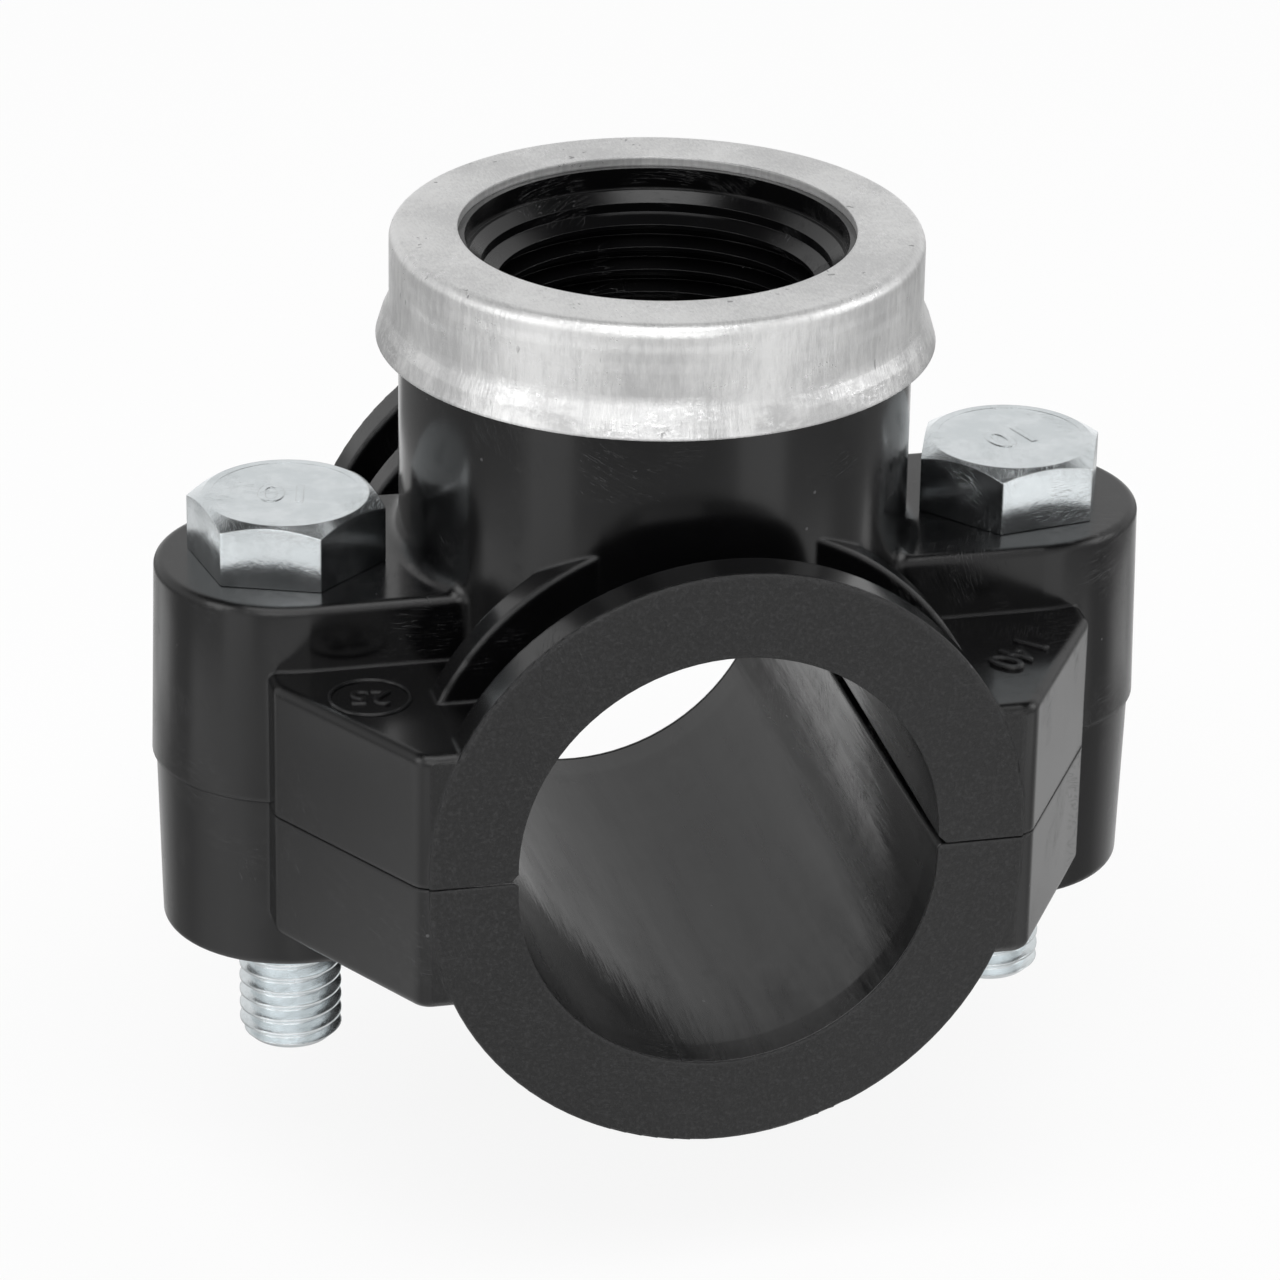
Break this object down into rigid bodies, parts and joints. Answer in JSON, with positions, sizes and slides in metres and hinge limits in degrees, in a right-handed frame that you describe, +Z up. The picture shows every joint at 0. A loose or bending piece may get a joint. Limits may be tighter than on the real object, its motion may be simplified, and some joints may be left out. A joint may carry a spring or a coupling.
{
  "type": "tapping saddle",
  "caption": "Two-part black plastic clamp saddle for a plastic pipe, bolted together, with a threaded outlet tube capped by a pale metal reinforcing ring.",
  "frame": {"origin": "centre of the upper half's pipe bore at half its length", "axes": "+Y runs along the pipe, +X across the two bolts, +Z up the outlet tube"},
  "size_m": [0.097, 0.066, 0.0815],
  "materials": {
    "saddle_plastic": "moulded semi-gloss black plastic, finely grained on the end flanges",
    "seal_rubber": "soft black rubber",
    "ring_metal": "drawn pale sheet metal with fine scratches and scuffs",
    "plated_steel": "bright zinc plating with a faint blue tint"
  },
  "bodies": {
    "upper": {"upper_saddle": "saddle_plastic", "outlet_seal": "seal_rubber", "reinforcing_ring": "ring_metal"},
    "lower": {"lower_saddle": "saddle_plastic", "nut_left": "plated_steel", "nut_right": "plated_steel"},
    "left_screw": {"bolt_left": "plated_steel"},
    "right_screw": {"bolt_right": "plated_steel"}
  },
  "joints": [
    {"name": "lower_half_slide", "type": "slide", "parent": "upper", "child": "lower", "axis": [0, 0, 1], "range_m": [-0.012, 0]},
    {"name": "bolt_left_turn", "type": "hinge", "parent": "upper", "child": "left_screw", "pos_m": [-0.03555, 0, 0.01895], "axis": [0, 0, 1], "range_deg": [-1, 2881]},
    {"name": "bolt_right_turn", "type": "hinge", "parent": "upper", "child": "right_screw", "pos_m": [0.03555, 0, 0.01895], "axis": [0, 0, 1], "range_deg": [-1, 2881]}
  ],
  "couplings": [
    {"joint": "bolt_left_turn", "follows": "lower_half_slide", "rad_per_m": -4188.8},
    {"joint": "bolt_right_turn", "follows": "lower_half_slide", "rad_per_m": -4188.8}
  ]
}
